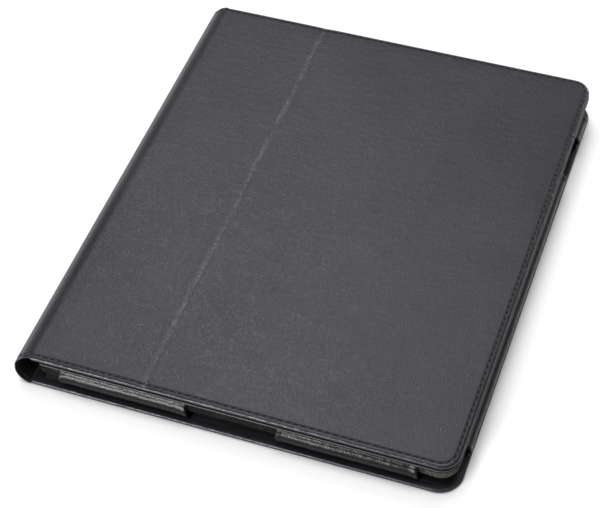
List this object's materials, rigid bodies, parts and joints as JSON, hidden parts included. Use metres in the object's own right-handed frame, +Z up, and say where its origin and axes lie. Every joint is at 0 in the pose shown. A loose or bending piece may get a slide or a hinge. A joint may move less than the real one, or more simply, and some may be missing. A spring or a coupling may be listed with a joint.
{
  "type": "tablet case",
  "caption": "Folio stand case for a 9.7-inch tablet: padded back panel, framed sleeve with port cut-outs, soft spine and a creased front cover.",
  "frame": {"origin": "middle of the underside of the closed case, on the surface it lies on", "axes": "+X from the spine to the cover's free edge, +Y from the dock end to the top end of the tablet, +Z up through the closed front cover"},
  "size_m": [0.208, 0.25, 0.0194],
  "materials": {
    "outer_leather": "matte charcoal-black imitation leather with a fine pebbled grain",
    "gusset_leather": "glossier black imitation leather, deeper grain, beige-grey knitted backing at its cut ends",
    "bezel_leather": "satin black imitation leather, fine grain",
    "lining": "black brushed microfibre",
    "board": "plain grey fibreboard",
    "thread": "black twisted polyester sewing thread"
  },
  "bodies": {
    "back": {"back_leather": "outer_leather", "back_board": "board", "back_lining": "lining", "back_stitching": "thread", "bezel_leather": "bezel_leather", "bezel_board": "board", "bezel_lining": "lining", "window_stitching": "thread", "sleeve_stitching": "thread", "gusset_bottom_left": "gusset_leather", "gusset_bottom_right": "gusset_leather", "gusset_side_lower": "gusset_leather", "gusset_side_upper": "gusset_leather", "gusset_top": "gusset_leather", "stand_flap_stitching": "thread"},
    "spine_low": {"spine_low_leather": "outer_leather", "spine_low_lining": "lining"},
    "spine_mid": {"spine_mid_leather": "outer_leather", "spine_mid_lining": "lining"},
    "spine_high": {"spine_high_leather": "outer_leather", "spine_high_lining": "lining"},
    "narrow_cover": {"narrow_cover_leather": "outer_leather", "narrow_cover_board": "board", "narrow_cover_lining": "lining", "narrow_cover_stitching": "thread"},
    "wide_cover": {"wide_cover_leather": "outer_leather", "wide_cover_board": "board", "wide_cover_lining": "lining", "wide_cover_stitching": "thread"},
    "tuck_flap": {"tuck_flap_leather": "gusset_leather", "tuck_flap_lining": "lining"},
    "stand_flap": {"stand_flap_leather": "outer_leather"}
  },
  "joints": [
    {"name": "back_fold", "type": "hinge", "parent": "back", "child": "spine_low", "pos_m": [-0.09855, 0, 0.00065], "axis": [0, -1, 0], "range_deg": [0, 45]},
    {"name": "lower_spine_fold", "type": "hinge", "parent": "spine_low", "child": "spine_mid", "pos_m": [-0.10335, 0, 0.00545], "axis": [0, -1, 0], "range_deg": [0, 45]},
    {"name": "upper_spine_fold", "type": "hinge", "parent": "spine_mid", "child": "spine_high", "pos_m": [-0.10335, 0, 0.01255], "axis": [0, -1, 0], "range_deg": [0, 45]},
    {"name": "cover_fold", "type": "hinge", "parent": "spine_high", "child": "narrow_cover", "pos_m": [-0.09715, 0, 0.01875], "axis": [0, -1, 0], "range_deg": [0, 45]},
    {"name": "crease_fold", "type": "hinge", "parent": "narrow_cover", "child": "wide_cover", "pos_m": [-0.04, 0, 0.019], "axis": [0, -1, 0], "range_deg": [0, 87.5]},
    {"name": "tuck_flap_fold", "type": "hinge", "parent": "back", "child": "tuck_flap", "pos_m": [-0.08775, 0, 0.00405], "axis": [0, -1, 0], "range_deg": [0, 90], "stiffness_Nm_per_rad": 0.01},
    {"name": "stand_flap_fold", "type": "hinge", "parent": "back", "child": "stand_flap", "pos_m": [0.07326, 0, 0.0004], "axis": [0, -1, 0], "range_deg": [0, 35], "stiffness_Nm_per_rad": 0.01}
  ]
}
